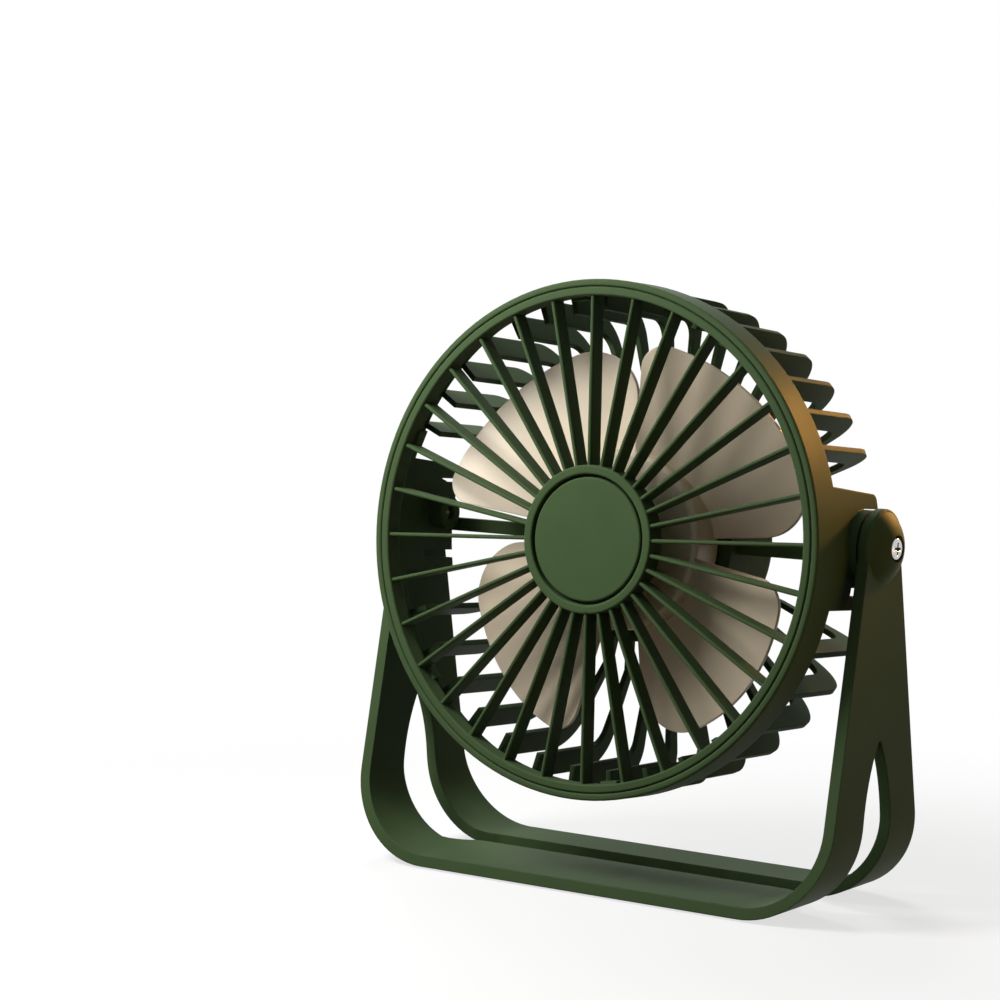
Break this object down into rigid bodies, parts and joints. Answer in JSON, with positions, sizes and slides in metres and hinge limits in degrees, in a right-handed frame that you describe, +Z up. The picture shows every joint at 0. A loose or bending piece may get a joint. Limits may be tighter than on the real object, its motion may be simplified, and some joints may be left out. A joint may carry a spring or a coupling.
{
  "type": "desk fan",
  "caption": "Rechargeable desk fan: a round grilled head with a bladed rotor and a rear battery pod, tilting on screws between the arms of a slotted U-shaped stand.",
  "frame": {"origin": "on the floor under the pivot axis, midway between the arms of the stand", "axes": "+Z up, X along the pivot axis from arm to arm, -Y the way the fan blows; the head is stored tilted up by 4 degrees"},
  "size_m": [0.1858, 0.073, 0.1943],
  "materials": {
    "green_plastic": "fine semi-matt mould texture",
    "rotor_plastic": "satin",
    "button_plastic": "satin",
    "black_plastic": "moulded",
    "foot_rubber": "matt",
    "washer_nylon": "smooth",
    "screw_steel": "bright plated",
    "insert_brass": "turned",
    "bearing_bronze": "sintered",
    "core_steel": "stamped",
    "magnet_ferrite": "sintered",
    "winding_copper": "enamelled wire",
    "lead_insulation": "smooth",
    "cell_foil": "satin foil",
    "pad_foam": "open cell",
    "board_laminate": "lacquered",
    "led_resin": "moulded",
    "lens_clear": "polished"
  },
  "bodies": {
    "stand": {"stand_frame": "green_plastic", "foot_pads": "foot_rubber", "friction_washers": "washer_nylon"},
    "head": {"rear_cage": "green_plastic", "front_grille": "green_plastic", "centre_cap": "green_plastic", "pivot_screws": "screw_steel", "pivot_inserts": "insert_brass", "bearing_tube": "insert_brass", "sleeve_bearing": "bearing_bronze", "thrust_washer": "washer_nylon", "stator_core": "core_steel", "stator_windings": "winding_copper", "motor_leads": "lead_insulation", "battery_cell": "cell_foil", "battery_foam": "pad_foam", "battery_leads": "lead_insulation", "control_board": "board_laminate", "board_components": "black_plastic", "board_screws": "screw_steel", "usb_socket": "screw_steel", "switch_body": "black_plastic", "indicator_led": "led_resin", "indicator_lens": "lens_clear", "rear_cover": "green_plastic", "cover_screws": "screw_steel"},
    "rotor": {"fan_rotor": "rotor_plastic", "rotor_yoke": "core_steel", "rotor_magnet": "magnet_ferrite", "motor_shaft": "screw_steel", "shaft_clip": "screw_steel"},
    "button": {"power_button": "button_plastic", "switch_plunger": "black_plastic"}
  },
  "joints": [
    {"name": "head_tilt", "type": "hinge", "parent": "stand", "child": "head", "pos_m": [0, 0, 0.1143], "axis": [1, 0, 0], "continuous": true},
    {"name": "rotor_spin", "type": "hinge", "parent": "head", "child": "rotor", "pos_m": [0, -0.00027, 0.11041], "axis": [0, -0.9976, 0.0698], "continuous": true},
    {"name": "button_press", "type": "slide", "parent": "head", "child": "button", "axis": [0, -0.9976, 0.0698], "range_m": [0, 0.0008], "stiffness_N_per_m": 2000}
  ]
}
